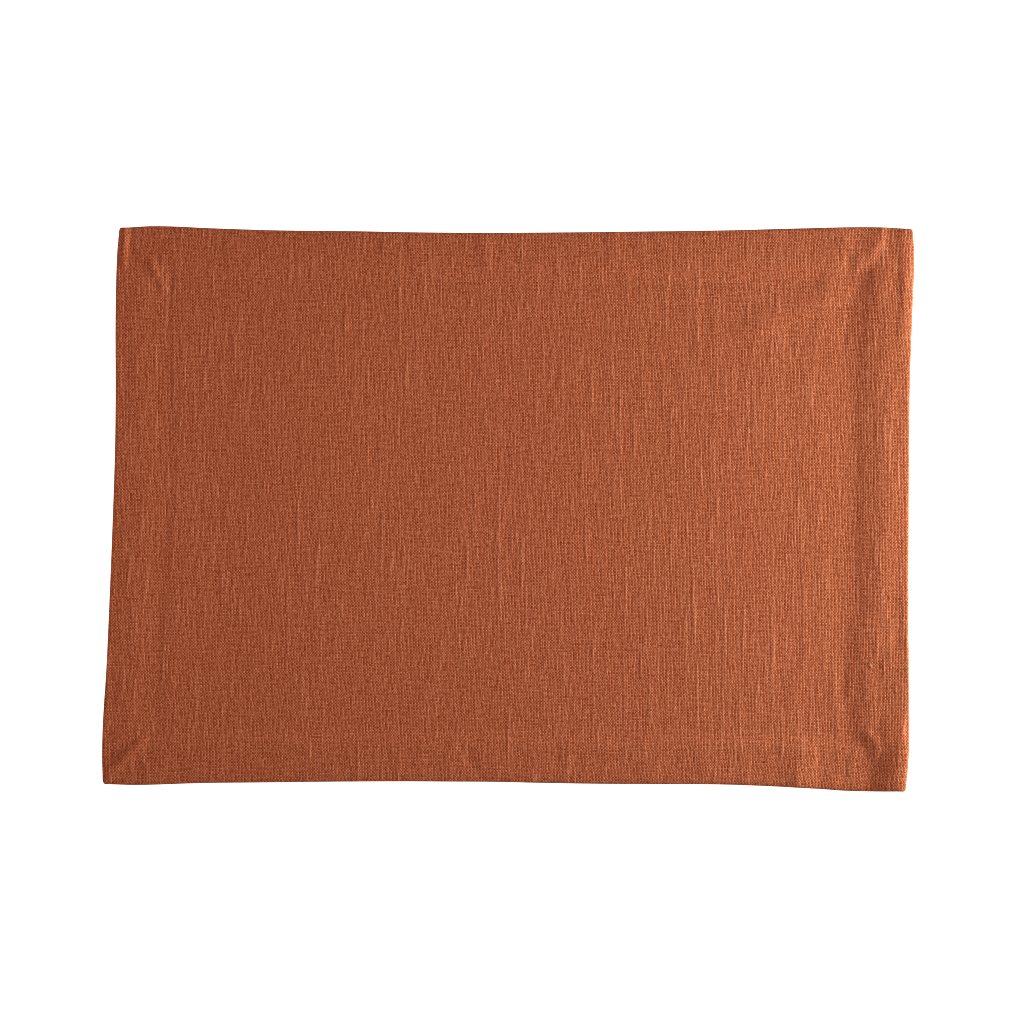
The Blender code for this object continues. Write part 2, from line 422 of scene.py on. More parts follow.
class MatShape:
    """The mat's sizes in millimetres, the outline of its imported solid, and its heights."""

    def __init__(self, settings):
        self.half_length = settings.length / MM / 2
        self.half_width = settings.width / MM / 2
        self.thickness = settings.thickness / MM
        self.edge_radius = settings.edge_radius / MM
        self.corner_radius = settings.corner_radius / MM
        self.hem_width = settings.hem_width / MM
        self.warp_pitch = 2 * (self.half_length - self.edge_radius) / settings.warp_threads
        self.weft_pitch = settings.weft_pitch / MM
        solid = BVHTree.FromObject(frame["nodes"][SOLID], bpy.context.evaluated_depsgraph_get())
        self.edges = {side: self.read_edge(solid, side) for side in SIDES}

    def side_sizes(self, side):
        """Whether a side runs in x, its sign, half its length, and how far out it lies."""
        across = side in ("front", "back")
        sign = 1 if side in ("right", "back") else -1
        halves = (self.half_length, self.half_width)
        return across, sign, *(halves if across else halves[::-1])

    def read_edge(self, solid, side):
        """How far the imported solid's edge stands out from the true rectangle, along one side."""
        across, sign, half_along, half_out = self.side_sizes(side)
        reach = half_along - READ_FROM_CORNER
        along = np.linspace(-reach, reach, EDGE_READINGS)
        out = []
        for place in along:
            start = Vector((sign * OUTSIDE, place * MM, READ_HEIGHT * MM))
            towards = Vector((-sign, 0.0, 0.0))
            if across:
                start.x, start.y = start.y, start.x
                towards.x, towards.y = 0.0, -sign
            hit = solid.ray_cast(start, towards)[0]
            if hit is None:
                raise RuntimeError(f"the {side} edge of the packed solid wasn't found")
            out.append(sign * (hit.y if across else hit.x) / MM - half_out)
        return along, np.array(out)

    def edge_out(self, side, along):
        return smooth_line(along, *self.edges[side])

    def inward(self, x, y):
        """Distance in from each of the four edges."""
        return {
            "left": self.half_length + x,
            "right": self.half_length - x,
            "back": self.half_width - y,
            "front": self.half_width + y,
        }

    def from_edge(self, x, y):
        """Distance in from the nearest edge."""
        return np.minimum.reduce(list(self.inward(x, y).values()))

    def base(self, x, y):
        """Height of the face without its folds. At a mitre the two hems count alike."""
        nearest = self.from_edge(x, y)
        known = column(HEM_HEIGHTS, "inward")
        total = weights = 0.0
        for side, distance in self.inward(x, y).items():
            weight = np.exp((nearest - distance) / MITRE_BLEND)
            total = total + weight * smooth_line(distance, known, column(HEM_HEIGHTS, side))
            weights = weights + weight
        return total / weights

    def lift(self, x, y):
        """How far the hem's underside stands off the table."""
        return ridges(FOLDS, x, y)

    def face(self, x, y):
        """Height of the face above the table."""
        swell = sum(
            row.height * rounded_bump(np.hypot((x - row.x) / row.reach_x, (y - row.y) / row.reach_y))
            for row in SWELLS
        )
        on_hem = np.clip(HEM_RIPPLE_ENDS - self.from_edge(x, y) / self.hem_width, 0.0, 1.0)
        pressed = PRESSED[0] + PRESSED[1] * x / self.half_length
        uneven = pressed * ripple(x, y, PANEL_RIPPLE) + on_hem * ripple(x, y, HEM_RIPPLE)
        return self.base(x, y) + self.lift(x, y) + ridges(CREASES, x, y) + swell + uneven

    def underside(self, x, y, rise):
        """The hem lies on the table, and the panel's underside is one layer below its face."""
        panel = np.maximum(0.0, self.face(x, y) - self.thickness)
        nearest, second = np.sort(list(self.inward(x, y).values()), axis=0)[:2]
        off_seam = (second - nearest) / math.sqrt(2)
        hem = self.lift(x, y) + MITRE_GROOVE * rounded_bump(off_seam / MITRE_GROOVE_REACH)
        return hem + rise * (panel - hem)

    def lay(self, x, y):
        """Where a place of the true rectangle lies in plan, inside the uneven outline."""
        past_x = np.abs(x) - (self.half_length - self.corner_radius)
        past_y = np.abs(y) - (self.half_width - self.corner_radius)
        blunt = (past_x > 0) & (past_y > 0)
        far = np.where(blunt, np.hypot(past_x, past_y), 1.0)
        pull = np.where(blunt, 1 - np.maximum(past_x, past_y) / far, 0.0)
        x = x - np.sign(x) * past_x * pull
        y = y - np.sign(y) * past_y * pull
        to_right = 0.5 + x / (2 * self.half_length)
        to_back = 0.5 + y / (2 * self.half_width)
        out_x = to_right * self.edge_out("right", y) - (1 - to_right) * self.edge_out("left", y)
        out_y = to_back * self.edge_out("back", x) - (1 - to_back) * self.edge_out("front", x)
        return x + out_x, y + out_y


# ---------------- the cloth's mesh

# Chance thick places of the warp threads: how many, their shortest half length, and what a usual
# one adds to it. Short ones are the knots and burrs of the yarn.
SLUB_KINDS = table(
    "count least_reach usual_reach",
    (3000, 3.0, 9.0),
    (260, 1.6, 1.5),
)
# No thick place is taller than this many usual ones
TALLEST_SLUB = 3.0
SLUB_SEED = 11
# Thick places that show most, listed
SLUBS = table(
    "x y reach height",
    (-119.0, 128.0, 3.0, 3.0),
    (-188.0, 113.0, 3.0, 3.0),
    (-167.0, 122.0, 3.0, 3.0),
    (-122.0, 156.0, 4.0, 3.0),
    (-72.0, 135.0, 6.0, 3.0),
)


class ClothMesh:
    """Points and faces of the cloth, gathered part by part."""

    def __init__(self):
        names = ("x", "y", "z", "flat_x", "flat_y", "path", "slub")
        self.values = {name: [] for name in names}
        self.faces = []
        self.parts = []
        self.count = 0

    def add_points(self, plan, height, flat, path=0.0, slub=0.0):
        """Adds points and returns their numbers, in the same shape."""
        shape = np.shape(height)
        for store, value in zip(
            self.values.values(), (*plan, height, *flat, path, slub), strict=True
        ):
            store.append(np.broadcast_to(value, shape).ravel())
        numbers = self.count + np.arange(np.size(height)).reshape(shape)
        self.count += np.size(height)
        return numbers

    def add_faces(self, faces, parts):
        """Adds faces, all of one part or each of its own."""
        self.faces += np.asarray(faces).tolist()
        self.parts += np.broadcast_to(parts, len(faces)).tolist()

    def all(self, name):
        return np.concatenate(self.values[name])


def grid_loop(numbers):
    """The outline of a grid of points, front, right, back, left, anticlockwise from above."""
    return np.concatenate(
        [numbers[0, :-1], numbers[:-1, -1], numbers[-1, :0:-1], numbers[:0:-1, 0]]
    )


def quads(numbers):
    """The faces of a grid, turned up."""
    corners = (numbers[:-1, :-1], numbers[:-1, 1:], numbers[1:, 1:], numbers[1:, :-1])
    return np.stack(corners, axis=-1).reshape(-1, 4)


def strip(outer, inner):
    """The faces between two rings with as many points, turned away from the cloth."""
    return np.stack([outer, inner, np.roll(inner, -1), np.roll(outer, -1)], axis=-1)


def moved_in(shape, outline, inset):
    """Places of the face's outline, moved in to an inset."""
    share_x = (shape.half_length - inset) / (shape.half_length - shape.edge_radius)
    share_y = (shape.half_width - inset) / (shape.half_width - shape.edge_radius)
    return outline[0] * share_x, outline[1] * share_y


def row_places(half_width, first_inset):
    """The face's rows from front to back, close together over the inner edge of a hem."""
    insets = [first_inset]
    for band in ROW_BANDS:
        insets += list(np.linspace(insets[-1], band.end_inset, band.steps + 1)[1:])
    front = np.array(insets) - half_width
    middle = np.linspace(front[-1], -front[-1], MIDDLE_ROWS + 1)[1:-1]
    return np.concatenate([front, middle, -front[::-1]])


def slub_lift(shape, x, y, unit):
    """How far the warp threads' thick places lift the face. One column of points is one thread."""
    chance = np.random.default_rng(SLUB_SEED)
    lift = np.zeros((len(y), len(x)))
    for kind in SLUB_KINDS:
        for _ in range(kind.count):
            thread = chance.integers(0, len(x))
            middle = chance.uniform(-shape.half_width, shape.half_width)
            reach = kind.least_reach + chance.exponential(kind.usual_reach)
            height = min(chance.exponential(1.0), TALLEST_SLUB)
            lift[:, thread] += height * rounded_bump((y - middle) / reach)
    for row in SLUBS:
        thread = int(np.argmin(np.abs(x - row.x)))
        lift[:, thread] += row.height * rounded_bump((y - row.y) / row.reach)
    return unit * np.minimum(lift, TALLEST_SLUB)


def add_face(mesh, shape, settings):
    """The face: a grid whose columns are the warp threads. It returns the grid's numbers."""
    inset = shape.edge_radius
    x = np.linspace(-1, 1, settings.warp_threads + 1) * (shape.half_length - inset)
    y = row_places(shape.half_width, inset)
    across, deep = np.meshgrid(x, y)
    lift = slub_lift(shape, x, y, settings.slub_height / MM)
    free = np.clip((shape.from_edge(across, deep) - inset) / WANDER_FREE, 0.0, 1.0)
    wander = free * ripple(across, deep, THREAD_RIPPLE)
    plan = shape.lay(across + wander, deep)
    height = shape.face(across, deep) + lift
    numbers = mesh.add_points(plan, height, (across, deep), slub=lift)
    mesh.add_faces(quads(numbers), "face")
    return numbers


def add_edge_fold(mesh, shape, ring, sides):
    """The half-round edge, from the face's outline down to the hem's underside."""
    flat = (mesh.all("flat_x")[ring], mesh.all("flat_y")[ring])
    top = mesh.all("z")[ring]
    slubs = mesh.all("slub")[ring]
    low = shape.underside(*flat, 0.0)
    for step in range(1, EDGE_FOLD_STEPS + 1):
        turn = math.pi * step / EDGE_FOLD_STEPS
        plan = shape.lay(*moved_in(shape, flat, shape.edge_radius * (1 - math.sin(turn))))
        level = (1 + math.cos(turn)) / 2
        height = low + level * (top - low)
        next_ring = mesh.add_points(plan, height, flat, shape.edge_radius * turn, slubs * level)
        mesh.add_faces(strip(ring, next_ring), sides)
        ring = next_ring
    return ring


def add_underside(mesh, shape, ring, sides, columns, rows):
    """The underside: rings in from the folded edge, coarser than the face, then a grid."""
    wide = columns // COARSE_COLUMNS
    tall = rows // COARSE_ROWS
    steps = np.repeat((COARSE_COLUMNS, COARSE_ROWS) * 2, (wide, tall) * 2)
    starts = np.cumsum(steps) - steps
    sides = sides[starts]
    outline = (mesh.all("flat_x")[ring][starts], mesh.all("flat_y")[ring][starts])
    folded = (math.pi - 1) * shape.edge_radius
    for row in UNDERSIDE_RINGS:
        flat = moved_in(shape, outline, row.inset)
        height = shape.underside(*flat, row.rise)
        next_ring = mesh.add_points(shape.lay(*flat), height, flat, folded + row.inset)
        if len(next_ring) == len(ring):
            mesh.add_faces(strip(ring, next_ring), sides)
        else:
            # The first ring takes in the fine outline, a few of its points to each face
            around = np.append(ring, ring[0])
            for number, (start, step) in enumerate(zip(starts, steps, strict=True)):
                fine = around[start : start + step + 1][::-1]
                after = (number + 1) % len(next_ring)
                mesh.add_faces([[next_ring[number], next_ring[after], *fine]], sides[number])
        ring = next_ring
    inner = np.empty((tall + 1, wide + 1), int)
    inner[0, :-1], inner[:-1, -1], inner[-1, :0:-1], inner[:0:-1, 0] = np.split(
        ring, np.cumsum((wide, tall, wide))
    )
    flat = np.meshgrid(flat[0][1:wide], flat[1][wide + 1 : wide + tall])
    height = shape.underside(*flat, 1.0)
    inner[1:-1, 1:-1] = mesh.add_points(shape.lay(*flat), height, flat)
    mesh.add_faces(quads(inner)[:, ::-1], "underside")


def make_cloth_mesh(shape, settings):
    """The whole cloth: the face, its half-round edge, the hem's underside and the panel's."""
    mesh = ClothMesh()
    face = add_face(mesh, shape, settings)
    rows = face.shape[0] - 1
    columns = face.shape[1] - 1
    sides = np.repeat(SIDES, (columns, rows, columns, rows))
    ring = add_edge_fold(mesh, shape, grid_loop(face), sides)
    add_underside(mesh, shape, ring, sides, columns, rows)
    return mesh


def thread_places(shape, parts, flat_x, flat_y, path):
    """Each face corner's place on the flat cloth. The threads run on round the folded edge."""
    u = flat_x + shape.half_length
    v = flat_y + shape.half_width
    out_x = shape.half_length - shape.edge_radius
    out_y = shape.half_width - shape.edge_radius
    u = np.where(parts == "left", shape.edge_radius - path, u)
    u = np.where(parts == "right", shape.half_length + out_x + path, u)
    v = np.where(parts == "front", shape.edge_radius - path, v)
    v = np.where(parts == "back", shape.half_width + out_y + path, v)
    # A thread that is on top of the face is below on the underside
    v = np.where(parts == "underside", v + shape.weft_pitch, v)
    return u, v


def make_cloth(shape, settings):
    """The cloth's object, with its UV map in metres of flat cloth and its slubs as an attribute."""
    cloth = make_cloth_mesh(shape, settings)
    points = np.stack([cloth.all(name) for name in ("x", "y", "z")], axis=-1) * MM
    mesh = bpy.data.meshes.new("slub_linen_cloth")
    mesh.from_pydata(points.tolist(), [], cloth.faces)
    mesh.update()
    mesh.shade_smooth()
    piece = bpy.data.objects.new("slub_linen_cloth", mesh)
    bpy.context.collection.objects.link(piece)

    corners = np.empty(len(mesh.loops), int)
    mesh.loops.foreach_get("vertex_index", corners)
    sizes = np.empty(len(mesh.polygons), int)
    mesh.polygons.foreach_get("loop_total", sizes)
    parts = np.repeat(np.array(cloth.parts), sizes)
    flat = [cloth.all(name)[corners] for name in ("flat_x", "flat_y", "path")]
    u, v = thread_places(shape, parts, *flat)
    threads = mesh.uv_layers.new(name="threads")
    threads.uv.foreach_set("vector", (np.stack([u, v], axis=-1) * MM).ravel().astype(np.float32))
    slub = mesh.attributes.new("slub", "FLOAT", "POINT")
    slub.data.foreach_set("value", cloth.all("slub").astype(np.float32))
    return piece


# ---------------- materials


def add(tree, kind, inputs=None, **settings):
    """Adds a node. Each input gets a value, or a link from a socket or a node's first output."""
    made = tree.nodes.new(kind)
    for name, value in settings.items():
        setattr(made, name, value)
    for socket, value in (inputs or {}).items():
        if isinstance(value, bpy.types.Node):
            value = value.outputs[0]
        if isinstance(value, bpy.types.NodeSocket):
            tree.links.new(value, made.inputs[socket])
        else:
            made.inputs[socket].default_value = value
    return made


def new_material(name):
    """A material with no nodes yet, and its node tree."""
    material = bpy.data.materials.new(name)
    material.use_nodes = True
    material.node_tree.nodes.clear()
    return material, material.node_tree


# Yarn of uneven thickness: soft noise, drawn out along each thread and different in the next one.
# These are its cells in x and y, for each thread.
WARP_YARN = (3.71, 0.07, 1.0)
WEFT_YARN = (0.05, 3.71, 1.0)
# Fibres are about a ninth of a thread apart, and are drawn in bundles of two to show
ACROSS_FIBRES = 5.0
ALONG_FIBRES = 1.2
# The tone between the painted light and painted shade of the crossings, on a scale from the gap's
# colour to the crown's
MIDDLE_TONE = 0.44
# How much of the range from gap to crown each thing takes: a crossing's painted light and shade, and
# chance from one crossing to the next;
# the thick places of the warp, partly uneven dye and partly painted light, and the painted shade that
# a thick neighbour casts on it;
# those of the weft and the painted shade of the next weft; and the fibres
CROSSING_LIGHT_AND_SHADE = 0.4
CHANCE_TONE = 0.3
WARP_DYE_AND_LIGHT = 1.8
WARP_SHADE_FROM_NEXT = -1.6
WEFT_TONE = 1.15
WEFT_SHADE_FROM_NEXT = -0.95
FIBRE_TONE = 0.5
# How far a thread dips between its crossings, against the height of its round back
CRIMP = 0.55
# How much a usual thick place of the mesh adds to its yarn's thickness, and fibres to the relief
SLUB_TONE = 0.07
FIBRE_RELIEF = 0.2


def piece_dyed_slub_linen(shape, settings):
    """Linen yarn of uneven thickness, woven plain and then dyed rust in the piece.

    It is matt. The crossings are painted light and dark by turns: painted light on the warp's crowns,
    which stand up, and painted shade on the weft, which lies lower. Thick places show as light streaks
    along the warp, partly uneven dye and partly painted light, and weaker along the weft; painted
    shade darkens the thread beside a thick one.
    """
    math_node = "ShaderNodeMath"
    vector_node = "ShaderNodeVectorMath"
    combine = "ShaderNodeCombineXYZ"
    separate = "ShaderNodeSeparateXYZ"
    noise = "ShaderNodeTexNoise"
    material, tree = new_material("piece_dyed_slub_linen")
    cloth_map = add(tree, "ShaderNodeUVMap", uv_map="threads")
    # From metres of flat cloth to a count of threads, with a warp thread's middle on each column
    pitches = (shape.warp_pitch * MM, shape.weft_pitch * MM, 1.0)
    offset = (0.5 - shape.edge_radius / shape.warp_pitch, 0.0, 0.0)
    counted = add(tree, vector_node, {0: cloth_map, 1: pitches}, operation="DIVIDE")
    threads = add(tree, vector_node, {0: counted, 1: offset}, operation="ADD")
    number = add(tree, vector_node, {0: threads}, operation="FLOOR")
    part = add(tree, vector_node, {0: threads}, operation="FRACTION")
    place = add(tree, vector_node, {0: part, 1: (0.5, 0.5, 0.0)}, operation="SUBTRACT")

    # Which thread is on top: 1 for the warp and -1 for the weft, by turns
    numbers = add(tree, separate, {0: number})
    total = add(tree, math_node, {0: numbers.outputs["X"], 1: numbers.outputs["Y"]}, operation="ADD")
    turn = add(tree, math_node, {0: total, 1: 1.0}, operation="PINGPONG")
    on_top = add(tree, math_node, {0: turn, 1: -2.0, 2: 1.0}, operation="MULTIPLY_ADD")

    # A thread rises over its crossing and dips under the next one
    quarter = add(tree, vector_node, {0: place, 1: (math.pi,) * 3}, operation="MULTIPLY")
    waves = add(tree, vector_node, {0: quarter}, operation="COSINE")
    wave = add(tree, separate, {0: waves})
    warp_wave = add(tree, math_node, {0: on_top, 1: wave.outputs["Y"]}, operation="MULTIPLY")
    weft_wave = add(tree, math_node, {0: on_top, 1: wave.outputs["X"]}, operation="MULTIPLY")
    # Painted light on the warp's crowns and painted shade on the weft's, by turns from one crossing to
    # the next
    crossing = add(tree, math_node, {0: warp_wave, 1: wave.outputs["X"]}, operation="MULTIPLY")

    # A thread's round back
    squares = add(tree, vector_node, {0: place, 1: place}, operation="MULTIPLY")
    backs = add(
        tree, vector_node, {0: squares, 1: (-4.0,) * 3, 2: (1.0,) * 3}, operation="MULTIPLY_ADD"
    )
    back = add(tree, separate, {0: backs})

    # How thick each yarn is here, with the warp's thick places that the mesh has too
    thread_parts = add(tree, separate, {0: threads})
    warp_at = add(tree, combine, {0: numbers.outputs["X"], 1: thread_parts.outputs["Y"]})
    weft_at = add(tree, combine, {0: thread_parts.outputs["X"], 1: numbers.outputs["Y"]})
    warp_cells = add(tree, vector_node, {0: warp_at, 1: WARP_YARN}, operation="MULTIPLY")
    weft_cells = add(tree, vector_node, {0: weft_at, 1: WEFT_YARN}, operation="MULTIPLY")
    uneven = {"Scale": 1.0, "Detail": 4.0, "Roughness": 1.0}
    # The next thread's thickness, for the painted shade that a thick thread casts on its neighbour
    next_warp = (WARP_YARN[0], 0.0, 0.0)
    next_weft = (0.0, WEFT_YARN[1], 0.0)
    next_warp_cells = add(tree, vector_node, {0: warp_cells, 1: next_warp}, operation="ADD")
    next_weft_cells = add(tree, vector_node, {0: weft_cells, 1: next_weft}, operation="ADD")
    warp_noise, shading_warp_noise, weft_noise, shading_weft_noise = (
        add(tree, noise, {"Vector": cells, **uneven}, noise_dimensions="2D")
        for cells in (warp_cells, next_warp_cells, weft_cells, next_weft_cells)
    )
    chance = add(tree, "ShaderNodeTexWhiteNoise", {"Vector": number}, noise_dimensions="2D")
    slub = add(tree, "ShaderNodeAttribute", attribute_name="slub")
    slub_share = SLUB_TONE / (settings.slub_height / MM)
    warp_thick = add(
        tree,
        math_node,
        {0: slub.outputs["Fac"], 1: slub_share, 2: warp_noise},
        operation="MULTIPLY_ADD",
    )

    # Height of both threads, and which one shows
    warp_rise = add(tree, math_node, {0: warp_wave, 1: CRIMP}, operation="MULTIPLY")
    weft_rise = add(tree, math_node, {0: weft_wave, 1: -CRIMP}, operation="MULTIPLY")
    warp_top, weft_top = (
        add(tree, math_node, {0: round_back, 1: thick, 2: rise}, operation="MULTIPLY_ADD")
        for round_back, thick, rise in (
            (back.outputs["X"], warp_thick, warp_rise),
            (back.outputs["Y"], weft_noise, weft_rise),
        )
    )
    height = add(tree, math_node, {0: warp_top, 1: weft_top}, operation="MAXIMUM")
    warp_shows = add(tree, math_node, {0: warp_top, 1: weft_top}, operation="GREATER_THAN")

    # Fibres along whichever thread shows
    warp_fibres, weft_fibres = (
        add(tree, vector_node, {0: threads, 1: cells}, operation="MULTIPLY")
        for cells in ((ACROSS_FIBRES, ALONG_FIBRES, 1.0), (ALONG_FIBRES, ACROSS_FIBRES, 1.0))
    )
    fibres_at = add(
        tree,
        "ShaderNodeMix",
        {0: warp_shows, 4: weft_fibres, 5: warp_fibres},
        data_type="VECTOR",
    )
    fibres = add(
        tree,
        noise,
        {"Vector": fibres_at.outputs[1], "Scale": 1.0, "Detail": 1.0},
        noise_dimensions="2D",
    )

    # Painted light on the crowns and painted shade in the gaps and beside thick threads, and yarn and
    # fibres that took the dye unevenly, with the warp's thick places also painted lighter
    shares = (
        (chance, CHANCE_TONE),
        (warp_thick, WARP_DYE_AND_LIGHT),
        (shading_warp_noise, WARP_SHADE_FROM_NEXT),
        (weft_noise, WEFT_TONE),
        (shading_weft_noise, WEFT_SHADE_FROM_NEXT),
        (fibres, FIBRE_TONE),
    )
    middle_tone = MIDDLE_TONE - sum(share for thing, share in shares) / 2
    tone = add(
        tree, math_node, {0: crossing, 1: CROSSING_LIGHT_AND_SHADE, 2: middle_tone}, operation="MULTIPLY_ADD"
    )
    for thing, share in shares:
        tone = add(tree, math_node, {0: thing, 1: share, 2: tone}, operation="MULTIPLY_ADD")
    floored = add(tree, math_node, {0: tone, 1: 0.0}, operation="MAXIMUM")
    # Painted light and shade: the tone mixes the gap colour's painted shade with the crown colour's
    # painted light
    colour = add(
        tree,
        "ShaderNodeMix",
        {0: floored, 6: tuple(settings.shaded_gap_colour), 7: tuple(settings.lit_crown_colour)},
        data_type="RGBA",
        clamp_factor=False,
    )

    relief = add(
        tree, math_node, {0: fibres, 1: FIBRE_RELIEF, 2: height}, operation="MULTIPLY_ADD"
    )
    bump = add(tree, "ShaderNodeBump", {"Height": relief, "Distance": settings.weave_depth})
    shader = add(
        tree,
        "ShaderNodeBsdfPrincipled",
        {
            "Base Color": colour.outputs[2],
            "Roughness": 0.95,
            "Specular IOR Level": 0.15,
            "Sheen Weight": 0.15,
            "Sheen Roughness": 0.5,
            "Sheen Tint": tuple(settings.fuzz_colour),
            "Normal": bump,
        },
    )
    add(tree, "ShaderNodeOutputMaterial", {"Surface": shader})
    return material


# The plies of a 0.3 mm yarn: how far apart they are and how much they stand out, in metres
PLY_SPACING = 0.0002
PLY_DEPTH = 0.00005


def twisted_yarn(name, colour, roughness):
    """A round twisted yarn of one colour, a little lighter and darker from ply to ply."""
    material, tree = new_material(name)
    places = add(tree, "ShaderNodeTexCoord")
    plies = add(
        tree,
        "ShaderNodeTexNoise",
        {"Vector": places.outputs["Object"], "Scale": 1 / PLY_SPACING, "Detail": 1.0},
    )
    tone = add(tree, "ShaderNodeMapRange", {"Value": plies, "To Min": 0.75, "To Max": 1.15})
    toned = add(
        tree,
        "ShaderNodeVectorMath",
        {0: tuple(colour)[:3], "Scale": tone.outputs[0]},
        operation="SCALE",
    )
    bump = add(tree, "ShaderNodeBump", {"Height": plies, "Distance": PLY_DEPTH})
    shader = add(
        tree,
        "ShaderNodeBsdfPrincipled",
        {"Base Color": toned, "Roughness": roughness, "Sheen Weight": 0.1, "Normal": bump},
    )
    add(tree, "ShaderNodeOutputMaterial", {"Surface": shader})
    return material


def spun_polyester_thread(settings):
    """Spun polyester sewing thread, dyed to match: a little smoother and redder than the linen."""
    return twisted_yarn("spun_polyester_thread", settings.thread_colour, 0.6)


def loose_flax_yarn(settings):
    """A thin end of flax yarn, matt, and pale with painted light where the low light catches it."""
    return twisted_yarn("loose_flax_yarn", settings.lit_loose_yarn_colour, 0.9)


def white_light_table(settings):
    """Opal acrylic table top, lit from below, which leaves no shadow."""
    material, tree = new_material("opal_acrylic_light_table")
    shader = add(
        tree,
        "ShaderNodeBsdfPrincipled",
        {
            "Base Color": tuple(settings.floor_colour),
            "Roughness": 0.9,
            "Specular IOR Level": 0.1,
            "Emission Color": tuple(settings.floor_colour),
            "Emission Strength": settings.floor_glow,
        },
    )
    add(tree, "ShaderNodeOutputMaterial", {"Surface": shader})
    return material


# ---------------- sewing

# How many of its radii a stitch's middle stands out of the cloth, and its ends dip below that. The
# ends are what lies past this share of its length from the middle.
STITCH_RISE = 0.8
STITCH_DIP = 1.8
STITCH_ENDS = 0.4
# A stitch of the hem reaches this far out over the hem and in over the panel, and leans this much
OVER_HEM = 1.1
OVER_PANEL = 0.9
LEAN = 0.5
# A stitch of a mitre reaches this far to either side of its seam, from here to the inner corner
OVER_SEAM = 0.6
MITRE_SEWN_FROM = 3.0
# Where the front hem's stitches come through to the face: small slanted ticks, their half size in x
# and y, and how deep they are sunk
TICK_RUNS = table(
    "start_x end_x y spacing",
    (122.5, 160.0, -144.2, 1.2),
    (162.0, 185.0, -144.4, 2.4),
)
TICK_REACH = (0.5, 0.3)
TICK_SUNK = 0.03
# A loose end of yarn that lies on the face, how high, and its thickness against a sewing thread
LOOSE_YARN = ((225.3, -94.0), (227.0, -97.4))
LOOSE_YARN_HEIGHT = 0.25
LOOSE_YARN_SHARE = 0.7


def on_cloth(shape, x, y, height):
    """A point in metres, at a height in millimetres over a place of the true rectangle."""
    plan_x, plan_y = shape.lay(np.array(x), np.array(y))
    return Vector((float(plan_x), float(plan_y), float(height))) * MM


def hem_ends(shape, spacing):
    """Both ends of each stitch along the hem's inner edge: on the hem, then on the panel."""
    ends = []
    for side in SIDES:
        across, sign, half_along, half_out = shape.side_sizes(side)
        half_along -= shape.hem_width
        half_out -= shape.hem_width
        for along in np.arange(spacing - half_along, half_along - spacing / 2, spacing):
            pair = []
            for lean, out, rise in ((-LEAN, OVER_HEM, 0.0), (LEAN, -OVER_PANEL, 1.0)):
                place = (along + lean, sign * (half_out + out))
                x, y = place if across else place[::-1]
                pair.append(on_cloth(shape, x, y, shape.underside(x, y, rise)))
            ends.append(pair)
    return ends


def mitre_ends(shape, spacing):
    """Both ends of each stitch across the seams of the four mitres."""
    ends = []
    for sign_x, sign_y in ((-1, -1), (1, -1), (1, 1), (-1, 1)):
        for inset in np.arange(MITRE_SEWN_FROM, shape.hem_width, spacing / math.sqrt(2)):
            pair = []
            for off in (-OVER_SEAM, OVER_SEAM):
                x = sign_x * (shape.half_length - inset + off)
                y = sign_y * (shape.half_width - inset - off)
                pair.append(on_cloth(shape, x, y, shape.underside(x, y, 0.0)))
            ends.append(pair)
    return ends


def tick_ends(shape):
    """Both ends of each stitch that comes through to the face."""
    ends = []
    for run in TICK_RUNS:
        for middle in np.arange(run.start_x, run.end_x, run.spacing):
            pair = []
            for sign in (-1, 1):
                x = middle + sign * TICK_REACH[0]
                y = run.y + sign * TICK_REACH[1]
                pair.append(on_cloth(shape, x, y, shape.face(x, y) - TICK_SUNK))
            ends.append(pair)
    return ends


def model_stitch(radius, length):
    """One stitch along x: a six-sided thread whose ends dip into the cloth."""
    bpy.ops.object.select_all(action="DESELECT")
    bpy.ops.mesh.primitive_cylinder_add(
        vertices=6, radius=radius, depth=length, rotation=(0.0, math.pi / 2, 0.0)
    )
    bpy.ops.object.transform_apply(location=False, rotation=True, scale=False)
    stitch = bpy.context.object
    bpy.ops.object.mode_set(mode="EDIT")
    bpy.ops.transform.translate(value=(0.0, 0.0, STITCH_RISE * radius))
    bpy.ops.mesh.select_mode(type="EDGE")
    bpy.ops.mesh.select_all(action="DESELECT")
    thread = bmesh.from_edit_mesh(stitch.data)
    for edge in thread.edges:
        start, end = (vertex.co.x for vertex in edge.verts)
        edge.select_set(abs(start - end) > length / 2)
    bmesh.update_edit_mesh(stitch.data)
    bpy.ops.mesh.subdivide(number_cuts=3)
    bpy.ops.mesh.select_mode(type="VERT")
    bpy.ops.mesh.select_all(action="DESELECT")
    thread = bmesh.from_edit_mesh(stitch.data)
    for vertex in thread.verts:
        vertex.select_set(abs(vertex.co.x) > STITCH_ENDS * length)
    bmesh.update_edit_mesh(stitch.data)
    bpy.ops.transform.translate(value=(0.0, 0.0, -STITCH_DIP * radius))
    bpy.ops.object.mode_set(mode="OBJECT")
    bpy.ops.object.shade_smooth()
    return stitch


